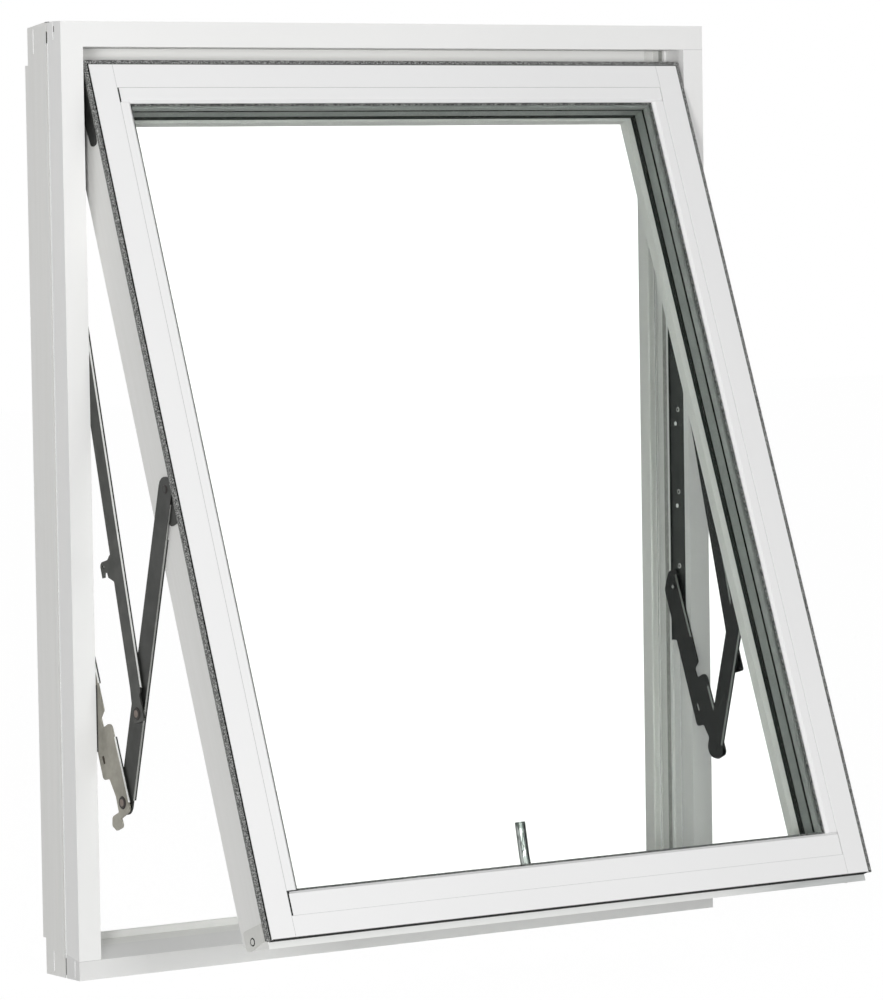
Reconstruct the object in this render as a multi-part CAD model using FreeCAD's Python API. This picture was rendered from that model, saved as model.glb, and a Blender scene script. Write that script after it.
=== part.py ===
"""Top hung awning window, shown open: a timber frame and sash with aluminium outside faces,
triple glazing, and on each side a steel linkage of three arms between the jamb and the sash.

Axes: X across the window, Y from outside to inside, Z up. The origin is on the underside of the
sill, in the middle of the width. Millimetres and degrees.
"""
import FreeCAD, Part
import math
import os
from FreeCAD import Placement, Rotation, Vector

# Frame, seen from outside
FRAME_WIDTH = 980.0
FRAME_HEIGHT = 1180.0
FACE_WIDTH = 31.2             # aluminium face of the head and the jambs
SILL_FACE = 23.8              # aluminium face of the sill
CLAD_WALL = 2.0               # wall of the aluminium profiles
CLAD_DEPTH = 33.0             # how far the cladding wraps round the outer sides
REVEAL_DEPTH = 47.5           # how far it lines the opening
TIMBER_START = 36.5           # where the timber shows behind the cladding, on the outer sides
TONGUE_START = 8.0            # front of the timber tongue inside the cladding
TONGUE_GAP = 0.3              # between the tongue and the cladding
EASE = 1.5                    # small bevel on the timber's edges
GASKET_WIDTH = 8.0            # rubber strip in the reveal, behind the cladding
GASKET_DEPTH = 4.0
GASKET_CREST = 0.2            # how far it stands out of the reveal
STOP_START = 68.0             # front of the stop that the closed sash meets
JAMB_DEPTH = 90.5
RAIL_DEPTH = 82.0             # depth of the head and the sill
JAMB_STOP = 45.0              # from the outer side to the face of the stop
HEAD_STOP = 52.0
SILL_STOP = 47.0
SILL_STOP_FALL = 2.0          # towards the inside
HEAD_FALL = 6.0               # the head's top falls this much towards the inside
SILL_FLOOR = 37.6             # height of the sill's sloping floor at the stop
SILL_CLAD_DEPTH = 20.0        # lower leg of the sill's profile
ORIGIN_DEPTH = 60.0           # the origin lies this far behind the frame's front

# Recess in the jambs for the hardware
TRACK_CENTRE = 27.3           # depth of the line that the slide shoe follows
TRACK_WIDTH = 33.0
TRACK_RECESS = 3.5

# Sash
OPENING_ANGLE = 20.5          # lower edge swung outwards
SASH_SIDE_GAP = 10.05         # between the sash and the jamb's face, on each side
SASH_END_GAP = 19.3           # opening of the frame less the height of the sash
SASH_WIDTH = FRAME_WIDTH - 2 * (FACE_WIDTH + SASH_SIDE_GAP)
SASH_HEIGHT = FRAME_HEIGHT - FACE_WIDTH - SILL_FACE - SASH_END_GAP
SASH_DEPTH = 67.0
SASH_DROP = 21.4              # from the head's face down to the sash's top edge
SASH_CLAD = 10.0              # depth of the aluminium on the sash
STILE_FACE = 33.3
TOP_RAIL_FACE = 30.2
BOTTOM_RAIL_FACE = 25.9
SIDE_BEAD = 16.7
TOP_BEAD = 19.6
BOTTOM_BEAD = 30.2
BEAD_BACK = 6.0               # where the beads stop in front of the glass
BEAD_SET_BACK = 0.8
BEAD_BEVEL = 3.5
BEAD_END_GAP = 1.8            # at the ends of the top and bottom beads, on average
BEAD_SHIFT = 1.4              # these beads sit to the right, so the gap shows on the left
RAIL_SIGHT = 7.5              # timber seen inside the bead's edge, through the glass
STILE_SIGHT = 12.8
GLASS_COVER = 9.5             # glass held behind the bead
GLASS_CLEARANCE = 1.5
BOTTOM_DROP = 8.9             # timber below the aluminium at the lower edge
UNDERSIDE_RISE = 9.2          # the underside rises this much towards the inside
CORNER_BEVEL = 10.0

# Glazing
PANE = 4.0
GLASS_START = 8.0             # outer pane's front, behind the sash face
CAVITIES = (9.0, 16.0)        # from the outer pane inwards
INNER_GASKET = 7.0            # rubber between the inner pane and the timber
GASKET_GRIP = 5.0             # width of glass that the gaskets press on
GASKET_SIGHT = 2.5            # outer gasket seen inside the bead's edge
SPACER_HEIGHT = 7.0
SPACER_SIGHT = 4.0            # spacer seen inside the bead's edge

# Seals
SEAL_REACH = 6.7
SEAL_START = 2.0
SEAL_LIP = 3.3
SEAL_BASE = 1.7
SEAL_SLOPE = 0.3              # of the lip's back

# Linkage: pivots in the depth of the frame and down from its top, outlines from the lower pivot
LOWER_PIVOT_DEPTH = 35.0
LOWER_PIVOT_DOWN = 748.0
UPPER_PIVOT_DEPTH = 27.3
SASH_PIVOT_DOWN = 541.8       # on the sash, from its top edge
SASH_PIVOT_BACK = 20.9        # on the sash, from its face
LOWER_LINK = 227.9
MAIN_ARM = 402.6
GUIDE_ARM = 493.0
GUIDE_PIVOT_UP = 118.6        # on the main arm, from its lower pivot
GUIDE_PIVOT_FORWARD = 7.3
STEEL = 2.2
LAYER_GAP = 0.3
ARM_GAP = 2.8                 # between the main arm and the two outer arms
FLANGE = 4.6                  # depth of the edges bent towards the sash
PIN_RADIUS = 3.5
PIN_END = 1.0                 # how far the riveted ends stand out
WASHER_RADIUS = 6.0
HOLE_CLEARANCE = 0.15
MAIN_WIDTH = 30.4
MAIN_LIP = (8.0, 60.0)        # where its bent edge stops short of the two pivots
GUIDE_FRONT = -16.2
GUIDE_BACK = 7.0
GUIDE_END = 11.0              # plate beyond the pivots
GUIDE_TAB = 21.0              # height of the narrower tab round the lower pivot
GUIDE_LIP = (5.0, 35.0)
CATCH = [(6, 165, 0), (19, 173, 0), (20.5, 180, 0), (27, 180, 0), (28.5, 175, 0), (33.5, 175, 0),
         (34.8, 194.5, 6), (15, 194.5, 0), (9, 199, 0), (6, 199, 0)]
CATCH_HOLE = (27.7, 188.2, 2.2)
LINK_BLADE = [(-7, 118, 3), (4, 112, 2), (4, 99, 2), (-17, 99, 8), (-12.5, -15, 7)]
LINK_TAIL = [(12.3, -16.4, 0), (12, -27.5, 4), (29, -26.5, 4), (36.5, -17.5, 4), (31, -7.5, 5), (14, -7.5, 0)]
LINK_EYE = [(13, -15, 7)]     # plain end of the link without a tail
LINK_BACK = [(12, 12, 10), (17, 37, 4), (31.5, 40, 6)]
LINK_HEAD = [(20, 4.1, 12), (2, 22.1, 10), (-14.5, 22.1, 6)]    # round its upper pivot
LINK_LIPS = ((10.0, 35.0), (19.0, 11.0))    # trimmed off the front's bent edge and the blade's
LINK_SLOT = (19.5, 62.5, 5.0, 10.0)         # centre, width and height
PLATE_TAIL = 45.0             # sash plate below its pivot
PLATE_HEAD = 13.0
PLATE_HALF = 10.5
CHANNEL_END = 820.0           # lower end of the jamb channel, down from the frame's top
CHANNEL_TOP_GAP = 18.0        # from the head's face
CHANNEL_LIP = 1.6
SHOE_DOWN = 12.0              # slide shoe's pin, from the sash's top edge
SHOE_BACK = 29.0              # slide shoe's pin, from the sash's face
SHOE_GAP = 0.45               # between the sash's fitting and the shoe
SHOE_WIDTH = 26.0
SHOE_LENGTH = 40.0
SHOE_BLIND = 2.0              # shoe left behind the end of its pin
FITTING = [(17.5, -97.6, 5), (30, -97.6, 5), (37, -40, 10), (37, -2, 6), (16, -2, 6), (16, -84, 2)]
BRACKET_STEEL = 1.6
BRACKET_SIDES = (14.8, 58.0)  # from the sash's face
BRACKET_RISE = 23.7           # from the sash's lower edge
BRACKET_HOLE = (44.5, 7.7, 3.2)

# Handle
HANDLE_UP = 37.7              # turning point, from the sash's lower edge
HANDLE_BACK = 100.0           # middle of the lever, from the sash's face
HANDLE_ROD = 6.5
HANDLE_STRAIGHT = 42.0        # from the turning point to the bend
HANDLE_BEND = 60.0
HANDLE_LEAN = 8.8             # degrees, towards the sash
HANDLE_TIP = 41.0             # from the bend to the tip
HUB_RADIUS = 10.0
HUB_DEPTH = 15.0
NECK_RADIUS = 8.5
ROSE = (30.0, 8.0, 66.0)      # width, thickness and height of the base plate
ROSE_CORNER = 12.0

NODES = {}


def keep(name, *shapes):
    """File shapes under a name."""
    NODES[name] = shapes[0] if len(shapes) == 1 else Part.makeCompound(list(shapes))


def prism(points, along):
    return Part.Face(Part.makePolygon(points + [points[0]])).extrude(along)


def mirrored(shape):
    return shape.mirror(Vector(0, 0, 0), Vector(1, 0, 0))


def rounded(corners):
    """Closed outline through corners (across, up, radius) in the YZ plane at X = 0."""
    count = len(corners)
    ends = []
    for i in range(count):
        across, up, radius = corners[i]
        here = Vector(0, across, up)
        before = Vector(0, *corners[i - 1][:2]) - here
        after = Vector(0, *corners[(i + 1) % count][:2]) - here
        half = before.getAngle(after) / 2
        if radius == 0:
            ends.append((here, None, here))
            continue
        reach = radius / math.tan(half)
        before.normalize()
        after.normalize()
        middle = before + after
        middle.normalize()
        centre = here + middle * (radius / math.sin(half))
        ends.append((here + before * reach, centre - middle * radius, here + after * reach))
    edges = []
    for i in range(count):
        start, bulge, end = ends[i]
        if bulge is not None:
            edges.append(Part.Arc(start, bulge, end).toShape())
        following = ends[(i + 1) % count][0]
        edges.append(Part.LineSegment(end, following).toShape())
    return Part.Wire(edges)


def plate(outline, inner, thickness):
    """A plate whose inner side is at X = inner and whose thickness grows outwards."""
    solid = Part.Face(outline).extrude(Vector(thickness, 0, 0))
    solid.translate(Vector(inner, 0, 0))
    return solid


def rod(radius, across, up, inner, outer):
    """Round bar along X from inner to outer."""
    return Part.makeCylinder(radius, outer - inner, Vector(inner, across, up), Vector(1, 0, 0))


def drill(solid, across, up, inner, radius=PIN_RADIUS + HOLE_CLEARANCE, depth=STEEL):
    return solid.cut(rod(radius, across, up, inner, inner + depth))


def bent_edge(corners, trims, inner):
    """Flange towards the sash along the line between two corners, its ends trimmed off.
    The plate lies on the inside of that line."""
    high, low = (Vector(0, across, up) for across, up, radius in corners)
    along = (low - high).normalize()
    inwards = Vector(0, -along.z, along.y) * STEEL
    start = high + along * trims[0]
    end = low - along * trims[1]
    outline = Part.makePolygon([start, end, end + inwards, start + inwards, start])
    return plate(outline, inner + STEEL - FLANGE, FLANGE)


def lay(shape, foot, head):
    """Turn a bar drawn upwards from Z = 0 so that it runs from foot to head."""
    lean = math.degrees(math.atan2(foot.y - head.y, head.z - foot.z))
    placed = shape.copy()
    placed.Placement = Placement(foot, Rotation(Vector(1, 0, 0), lean)) * shape.Placement
    return placed


# Levels of the linkage on the right side, from the sash outwards
half_width = FRAME_WIDTH / 2
opening_half = half_width - FACE_WIDTH
sash_half = SASH_WIDTH / 2
main_inner = sash_half + STEEL + LAYER_GAP
main_outer = main_inner + STEEL
arm_inner = main_outer + ARM_GAP
arm_outer = arm_inner + STEEL
track_outer = opening_half + TRACK_RECESS
track_inner = track_outer - STEEL

# Frame timber. Sections are drawn as (distance in from the outer side, depth).
gasket_end = REVEAL_DEPTH + GASKET_WIDTH
tongue_side = CLAD_WALL + TONGUE_GAP
jamb_tongue = FACE_WIDTH - TRACK_RECESS - CLAD_WALL - TONGUE_GAP
rail_tongue = FACE_WIDTH - CLAD_WALL - TONGUE_GAP


def jamb_section():
    return [(0, TIMBER_START), (tongue_side, TIMBER_START), (tongue_side, TONGUE_START),
            (jamb_tongue, TONGUE_START), (jamb_tongue, REVEAL_DEPTH),
            (FACE_WIDTH - GASKET_DEPTH, REVEAL_DEPTH), (FACE_WIDTH - GASKET_DEPTH, gasket_end),
            (FACE_WIDTH, gasket_end), (FACE_WIDTH, STOP_START), (JAMB_STOP - EASE, STOP_START),
            (JAMB_STOP, STOP_START + EASE), (JAMB_STOP, JAMB_DEPTH - EASE),
            (JAMB_STOP - EASE, JAMB_DEPTH), (EASE, JAMB_DEPTH), (0, JAMB_DEPTH - EASE)]


def head_section():
    return [(0, TIMBER_START), (tongue_side, TIMBER_START), (tongue_side, TONGUE_START),
            (rail_tongue, TONGUE_START), (rail_tongue, REVEAL_DEPTH),
            (FACE_WIDTH - GASKET_DEPTH, REVEAL_DEPTH), (FACE_WIDTH - GASKET_DEPTH, gasket_end),
            (FACE_WIDTH, gasket_end), (FACE_WIDTH, STOP_START), (HEAD_STOP - EASE, STOP_START),
            (HEAD_STOP, STOP_START + EASE), (HEAD_STOP, RAIL_DEPTH - EASE),
            (HEAD_STOP - EASE, RAIL_DEPTH), (HEAD_FALL, RAIL_DEPTH)]


def sill_floor(depth):
    return SILL_FACE + (SILL_FLOOR - SILL_FACE) * depth / STOP_START


def sill_section():
    return [(0, TIMBER_START), (0, RAIL_DEPTH), (SILL_STOP - SILL_STOP_FALL, RAIL_DEPTH),
            (SILL_STOP, STOP_START + EASE), (SILL_STOP - EASE, STOP_START),
            (sill_floor(STOP_START), STOP_START), (sill_floor(REVEAL_DEPTH), REVEAL_DEPTH),
            (sill_floor(REVEAL_DEPTH) - tongue_side, REVEAL_DEPTH),
            (sill_floor(TONGUE_START) - tongue_side, TONGUE_START), (tongue_side, TONGUE_START),
            (tongue_side, TIMBER_START)]


def upright(section, low, high):
    """A right hand upright from a section of (in from the outer side, depth)."""
    points = [Vector(half_width - across, depth, low) for across, depth in section]
    return prism(points, Vector(0, 0, high - low))


def crosspiece(section, half_length, top=None):
    """A rail from a section of (down from top, depth), or (up, depth) without a top."""
    points = [Vector(-half_length, depth, across if top is None else top - across)
              for across, depth in section]
    return prism(points, Vector(2 * half_length, 0, 0))


def block(width, front, back, low, high):
    """Box at the right hand end of the frame, as wide as asked for."""
    return Part.makeBox(width, back - front, high - low, Vector(half_width - width, front, low))


# The rails run through the jambs as tenons between the reveal's edge and the stop
front_shoulder = block(jamb_tongue, TIMBER_START, REVEAL_DEPTH, 0, FRAME_HEIGHT)
back_shoulder = block(JAMB_STOP, STOP_START, JAMB_DEPTH, 0, FRAME_HEIGHT)
shoulders = [front_shoulder, back_shoulder, mirrored(front_shoulder), mirrored(back_shoulder)]
tongue_end = block(tongue_side, TONGUE_START, TIMBER_START, 0, FRAME_HEIGHT)
shortened = shoulders + [tongue_end, mirrored(tongue_end)]
head_timber = crosspiece(head_section(), half_width, FRAME_HEIGHT).cut(shortened)
sill_timber = crosspiece(sill_section(), half_width).cut(shortened)
head_line = FRAME_HEIGHT - FACE_WIDTH - TONGUE_GAP
fall_end = HEAD_FALL * (JAMB_DEPTH - TIMBER_START) / (RAIL_DEPTH - TIMBER_START)
head_slope = crosspiece([(0, TIMBER_START), (0, JAMB_DEPTH), (fall_end, JAMB_DEPTH)], half_width,
                        FRAME_HEIGHT)
sill_front = crosspiece([(0, 0), (0, TIMBER_START), (sill_floor(TIMBER_START) + TONGUE_GAP, TIMBER_START),
                         (SILL_FACE + TONGUE_GAP, 0)], half_width)
jamb_timber = upright(jamb_section(), 0, FRAME_HEIGHT).cut([
    head_timber, sill_timber, head_slope, sill_front,
    block(FACE_WIDTH, 0, TIMBER_START, head_line, FRAME_HEIGHT),
    block(JAMB_STOP, RAIL_DEPTH, JAMB_DEPTH, FRAME_HEIGHT - HEAD_STOP, FRAME_HEIGHT),
    block(JAMB_STOP, RAIL_DEPTH, JAMB_DEPTH, 0, SILL_STOP - SILL_STOP_FALL)])
keep("frame_head_timber", head_timber)
keep("frame_sill_timber", sill_timber)
keep("frame_right_jamb_timber", jamb_timber)
keep("frame_left_jamb_timber", mirrored(jamb_timber))


# Aluminium cladding of the frame
def jamb_cladding_section():
    wall = CLAD_WALL
    near = TRACK_CENTRE - TRACK_WIDTH / 2
    far = TRACK_CENTRE + TRACK_WIDTH / 2
    deep = FACE_WIDTH - TRACK_RECESS
    return [(0, 0), (0, CLAD_DEPTH), (wall, CLAD_DEPTH), (wall, wall), (FACE_WIDTH - wall, wall),
            (FACE_WIDTH - wall, near - wall), (deep - wall, near - wall), (deep - wall, REVEAL_DEPTH),
            (FACE_WIDTH, REVEAL_DEPTH), (FACE_WIDTH, far), (deep, far), (deep, near),
            (FACE_WIDTH, near), (FACE_WIDTH, 0)]


def head_cladding_section():
    wall = CLAD_WALL
    return [(0, 0), (0, CLAD_DEPTH), (wall, CLAD_DEPTH), (wall, wall), (FACE_WIDTH - wall, wall),
            (FACE_WIDTH - wall, REVEAL_DEPTH), (FACE_WIDTH, REVEAL_DEPTH), (FACE_WIDTH, 0)]


def sill_cladding_section():
    wall = CLAD_WALL
    return [(0, 0), (0, SILL_CLAD_DEPTH), (wall, SILL_CLAD_DEPTH), (wall, wall),
            (sill_floor(wall) - wall, wall), (sill_floor(REVEAL_DEPTH) - wall, REVEAL_DEPTH),
            (sill_floor(REVEAL_DEPTH), REVEAL_DEPTH), (SILL_FACE, 0)]


sill_body = crosspiece([(0, 0), (0, REVEAL_DEPTH), (sill_floor(REVEAL_DEPTH), REVEAL_DEPTH),
                        (SILL_FACE, 0)], half_width)
jamb_cladding = upright(jamb_cladding_section(), 0, FRAME_HEIGHT - FACE_WIDTH).cut(sill_body)
head_end = block(CLAD_WALL, 0, CLAD_DEPTH, FRAME_HEIGHT - FACE_WIDTH, FRAME_HEIGHT)
sill_end = block(CLAD_WALL, 0, CLAD_DEPTH, 0, FACE_WIDTH).common(sill_body)
head_profile = crosspiece(head_cladding_section(), half_width, FRAME_HEIGHT).cut(shoulders)
sill_profile = crosspiece(sill_cladding_section(), half_width).cut(shoulders)
keep("frame_head_cladding", head_profile.fuse([head_end, mirrored(head_end)]))
keep("frame_sill_cladding", sill_profile.fuse([sill_end, mirrored(sill_end)]))
keep("frame_right_jamb_cladding", jamb_cladding)
keep("frame_left_jamb_cladding", mirrored(jamb_cladding))


# Rubber strip round the reveal
def gasket_section():
    return [(FACE_WIDTH - GASKET_DEPTH, REVEAL_DEPTH), (FACE_WIDTH - GASKET_DEPTH, gasket_end),
            (FACE_WIDTH + GASKET_CREST / 3, gasket_end - GASKET_CREST / 3),
            (FACE_WIDTH + GASKET_CREST, (REVEAL_DEPTH + gasket_end) / 2), (FACE_WIDTH, REVEAL_DEPTH)]


head_gasket = crosspiece(gasket_section(), opening_half, FRAME_HEIGHT)
side_gasket = upright(gasket_section(), sill_floor(gasket_end), FRAME_HEIGHT - FACE_WIDTH - GASKET_CREST)
keep("frame_gasket", head_gasket, side_gasket, mirrored(side_gasket))

# Sash: drawn upright with its face in the plane Y = 0 and its top edge at Z = 0, then hung
angle = math.radians(OPENING_ANGLE)
sash_top = Vector(0, TRACK_CENTRE + SHOE_DOWN * math.sin(angle) - SHOE_BACK * math.cos(angle),
                  FRAME_HEIGHT - FACE_WIDTH - SASH_DROP)
SASH_PLACE = Placement(sash_top, Rotation(Vector(1, 0, 0), -OPENING_ANGLE))


def hang(shape):
    placed = shape.copy()
    placed.Placement = SASH_PLACE * shape.Placement
    return placed


def sash_point(down, back):
    return SASH_PLACE.multVec(Vector(0, back, -down))


def stile(section, high, low):
    """A right hand sash upright from a section of (in from the edge, back from the face)."""
    points = [Vector(sash_half - across, back, -low) for across, back in section]
    return prism(points, Vector(0, 0, low - high))


def rail(section, half_length, bottom=False):
    """A sash rail from a section of (in from the edge, back from the face)."""
    points = [Vector(-half_length, back, across - SASH_HEIGHT if bottom else -across)
              for across, back in section]
    return prism(points, Vector(2 * half_length, 0, 0))


pane_fronts = (GLASS_START, GLASS_START + PANE + CAVITIES[0], GLASS_START + 2 * PANE + sum(CAVITIES))
glass_end = pane_fronts[2] + PANE
rebate_end = glass_end + INNER_GASKET
side_edge = STILE_FACE + SIDE_BEAD
top_edge = TOP_RAIL_FACE + TOP_BEAD
bottom_edge = BOTTOM_RAIL_FACE + BOTTOM_BEAD


def timber_section(edge, sight):
    """Sash timber with the rebate that takes the glass from outside."""
    rebate = edge - GLASS_COVER - GLASS_CLEARANCE
    return [(0, SASH_CLAD), (0, SASH_DEPTH - EASE), (EASE, SASH_DEPTH),
            (edge + sight - EASE, SASH_DEPTH), (edge + sight, SASH_DEPTH - EASE),
            (edge + sight, rebate_end), (rebate, rebate_end), (rebate, SASH_CLAD)]


# The underside slopes up towards the inside, and its inner corner is bevelled
underside = [(-BOTTOM_DROP, SASH_CLAD), (UNDERSIDE_RISE - BOTTOM_DROP, SASH_DEPTH - CORNER_BEVEL),
             (CORNER_BEVEL, SASH_DEPTH)]
bottom_section = underside + timber_section(bottom_edge, RAIL_SIGHT)[3:]
rail_half = sash_half - side_edge + GLASS_COVER + GLASS_CLEARANCE
trim = rail(underside + [(-2 * BOTTOM_DROP, SASH_DEPTH), (-2 * BOTTOM_DROP, SASH_CLAD)], sash_half,
            bottom=True)
right_stile = stile(timber_section(side_edge, STILE_SIGHT), 0, SASH_HEIGHT + BOTTOM_DROP).cut(trim)
stiles = [right_stile, mirrored(right_stile)]
keep("sash_right_stile", hang(stiles[0]))
keep("sash_left_stile", hang(stiles[1]))
keep("sash_top_rail", hang(rail(timber_section(top_edge, RAIL_SIGHT), rail_half).cut(stiles)))
keep("sash_bottom_rail", hang(rail(bottom_section, rail_half, bottom=True).cut(stiles)))


def cladding_section(face):
    wall = CLAD_WALL
    return [(0, 0), (0, SASH_CLAD), (wall, SASH_CLAD), (wall, wall), (face - wall, wall),
            (face - wall, SASH_CLAD), (face, SASH_CLAD), (face, 0)]


face_inner = sash_half - STILE_FACE
stile_cladding = stile(cladding_section(STILE_FACE), 0, SASH_HEIGHT)
keep("sash_right_cladding", hang(stile_cladding))
keep("sash_left_cladding", hang(mirrored(stile_cladding)))
keep("sash_top_cladding", hang(rail(cladding_section(TOP_RAIL_FACE), face_inner)))
keep("sash_bottom_cladding", hang(rail(cladding_section(BOTTOM_RAIL_FACE), face_inner, bottom=True)))


def bead_section(face, bead):
    end = face + bead
    rebate = end - GLASS_COVER - GLASS_CLEARANCE
    return [(face, BEAD_SET_BACK), (face, SASH_CLAD), (rebate, SASH_CLAD), (rebate, BEAD_BACK),
            (end, BEAD_BACK), (end, BEAD_SET_BACK + BEAD_BEVEL), (end - BEAD_BEVEL, BEAD_SET_BACK)]


bead_half = face_inner - BEAD_END_GAP
side_bead = stile(bead_section(STILE_FACE, SIDE_BEAD), top_edge, SASH_HEIGHT - bottom_edge)
keep("glazing_bead_right", hang(side_bead))
keep("glazing_bead_left", hang(mirrored(side_bead)))
beads = {"top": rail(bead_section(TOP_RAIL_FACE, TOP_BEAD), bead_half),
         "bottom": rail(bead_section(BOTTOM_RAIL_FACE, BOTTOM_BEAD), bead_half, bottom=True)}
for name, bead in beads.items():
    bead.translate(Vector(BEAD_SHIFT, 0, 0))
    keep("glazing_bead_" + name, hang(bead))

# Triple glazing
glass_half = sash_half - side_edge + GLASS_COVER
glass_high = -top_edge + GLASS_COVER
glass_low = -SASH_HEIGHT + bottom_edge - GLASS_COVER


def slab(inset, front, depth):
    """Box that fills the outline of the glass, or stays inside it by the inset."""
    return Part.makeBox(2 * (glass_half - inset), depth, glass_high - glass_low - 2 * inset,
                        Vector(inset - glass_half, front, glass_low + inset))


def ring(outer_inset, inner_inset, front, depth):
    return slab(outer_inset, front, depth).cut(slab(inner_inset, front, depth))


for name, front in zip(("outer", "middle", "inner"), pane_fronts):
    keep("glass_pane_" + name, hang(slab(0, front, PANE)))
spacer_edge = GLASS_COVER + SPACER_SIGHT
for name, front, cavity in zip(("outer", "inner"), pane_fronts, CAVITIES):
    keep("glass_spacer_" + name, hang(ring(spacer_edge - SPACER_HEIGHT, spacer_edge, front + PANE, cavity)))
gasket_edge = GLASS_COVER - GASKET_GRIP
keep("glazing_gasket",
     hang(ring(gasket_edge, GLASS_COVER + GASKET_SIGHT, BEAD_BACK, GLASS_START - BEAD_BACK)),
     hang(ring(gasket_edge, spacer_edge, glass_end, INNER_GASKET)))


# Seal round the top and the sides of the sash
def seal_section():
    back = SEAL_START + SEAL_LIP
    return [(0, SEAL_START), (-SEAL_REACH, SEAL_START), (-SEAL_REACH, back),
            (-SEAL_BASE, back + SEAL_SLOPE), (-SEAL_BASE, SASH_CLAD), (0, SASH_CLAD)]


side_seal = stile(seal_section(), -SEAL_REACH, SASH_HEIGHT)
top_seal = rail(seal_section(), sash_half)
keep("sash_seal", hang(side_seal.fuse([top_seal, mirrored(side_seal)]).removeSplitter()))


# Linkage
def meet(first, first_reach, second, second_reach):
    """The point at both reaches from two pivots, on the outdoor side of the line between them."""
    span = second - first
    distance = span.Length
    along = (distance ** 2 + first_reach ** 2 - second_reach ** 2) / (2 * distance)
    off = math.sqrt(first_reach ** 2 - along ** 2)
    span.normalize()
    return first + span * along + Vector(0, -span.z, span.y) * off * (1 if span.y < 0 else -1)


lower_pivot = Vector(0, LOWER_PIVOT_DEPTH, FRAME_HEIGHT - LOWER_PIVOT_DOWN)
sash_pivot = sash_point(SASH_PIVOT_DOWN, SASH_PIVOT_BACK)
knee = meet(lower_pivot, LOWER_LINK, sash_pivot, MAIN_ARM)
main_line = (sash_pivot - knee).normalize()
main_back = Vector(0, main_line.z, -main_line.y)
guide_pivot = knee + main_line * GUIDE_PIVOT_UP - main_back * GUIDE_PIVOT_FORWARD
guide_reach = UPPER_PIVOT_DEPTH - guide_pivot.y
upper_pivot = Vector(0, UPPER_PIVOT_DEPTH, guide_pivot.z + math.sqrt(GUIDE_ARM ** 2 - guide_reach ** 2))


def lower_link(end):
    """Stamped link: a wide blade below with the given end under the knee, a narrow strip above."""
    head = [(across, LOWER_LINK + up, radius) for across, up, radius in LINK_HEAD]
    solid = plate(rounded(LINK_BLADE + end + LINK_BACK + head), arm_inner, STEEL)
    edges = ((head[-1], LINK_BLADE[0]), LINK_BLADE[-2:])
    solid = solid.fuse([bent_edge(edge, trims, arm_inner) for edge, trims in zip(edges, LINK_LIPS)])
    for up in (0, LOWER_LINK):
        solid = drill(solid, 0, up, arm_inner)
    across, up, width, height = LINK_SLOT
    return solid.cut(Part.makeBox(STEEL, width, height,
                                  Vector(arm_inner, across - width / 2, up - height / 2)))


def main_arm():
    half = MAIN_WIDTH / 2
    bend = half - LAYER_GAP
    front = [(-half, MAIN_ARM + half, bend), (-half, -half, bend)]
    back = [(half, -half, bend), (half, MAIN_ARM + half, bend)]
    edge = [(-half, MAIN_ARM, 0), (-half, 0, 0)]
    solid = plate(rounded(front + back), main_inner, STEEL)
    solid = drill(solid.fuse(bent_edge(edge, MAIN_LIP[::-1], main_inner)), 0, MAIN_ARM, main_inner)
    for across, up in ((0, 0), (-GUIDE_PIVOT_FORWARD, GUIDE_PIVOT_UP)):
        solid = solid.fuse([rod(PIN_RADIUS, across, up, main_inner, arm_outer + PIN_END),
                            rod(WASHER_RADIUS, across, up, main_outer, arm_inner - LAYER_GAP)])
    return solid


def guide_arm(catch):
    """Long arm from the main arm to the jamb. The left one carries the catch for the link's tail."""
    low = -GUIDE_END
    high = GUIDE_ARM + GUIDE_END
    front = [(GUIDE_FRONT, high, 9), (GUIDE_FRONT, GUIDE_TAB + 4, 0), (GUIDE_FRONT + 4, GUIDE_TAB, 0)]
    tab = [(GUIDE_FRONT + 1, low, 3), (GUIDE_END, low, 5), (GUIDE_BACK, GUIDE_TAB + 12, 10)]
    eye = [(GUIDE_BACK, GUIDE_ARM - 24, 4), (GUIDE_END, GUIDE_ARM - 16, 4), (GUIDE_END, high, 9)]
    solid = plate(rounded(front + tab + eye), arm_inner, STEEL)
    solid = solid.fuse(bent_edge(front[:2], GUIDE_LIP[::-1], arm_inner))
    for up in (0, GUIDE_ARM):
        solid = drill(solid, 0, up, arm_inner)
    if not catch:
        return solid
    across, up, radius = CATCH_HOLE
    return drill(solid.fuse(plate(rounded(CATCH), arm_inner, STEEL)), across, up, arm_inner, radius)


def sash_plate():
    low = -SASH_PIVOT_DOWN - PLATE_TAIL
    high = -SASH_PIVOT_DOWN + PLATE_HEAD
    near = SASH_PIVOT_BACK - PLATE_HALF
    far = SASH_PIVOT_BACK + PLATE_HALF
    body = rounded([(near, low, 6), (far, low, 6), (far, high, 9), (near, high, 9)])
    return plate(body, sash_half, STEEL).fuse(
        rod(PIN_RADIUS, SASH_PIVOT_BACK, -SASH_PIVOT_DOWN, sash_half, main_outer + PIN_END))


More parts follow.
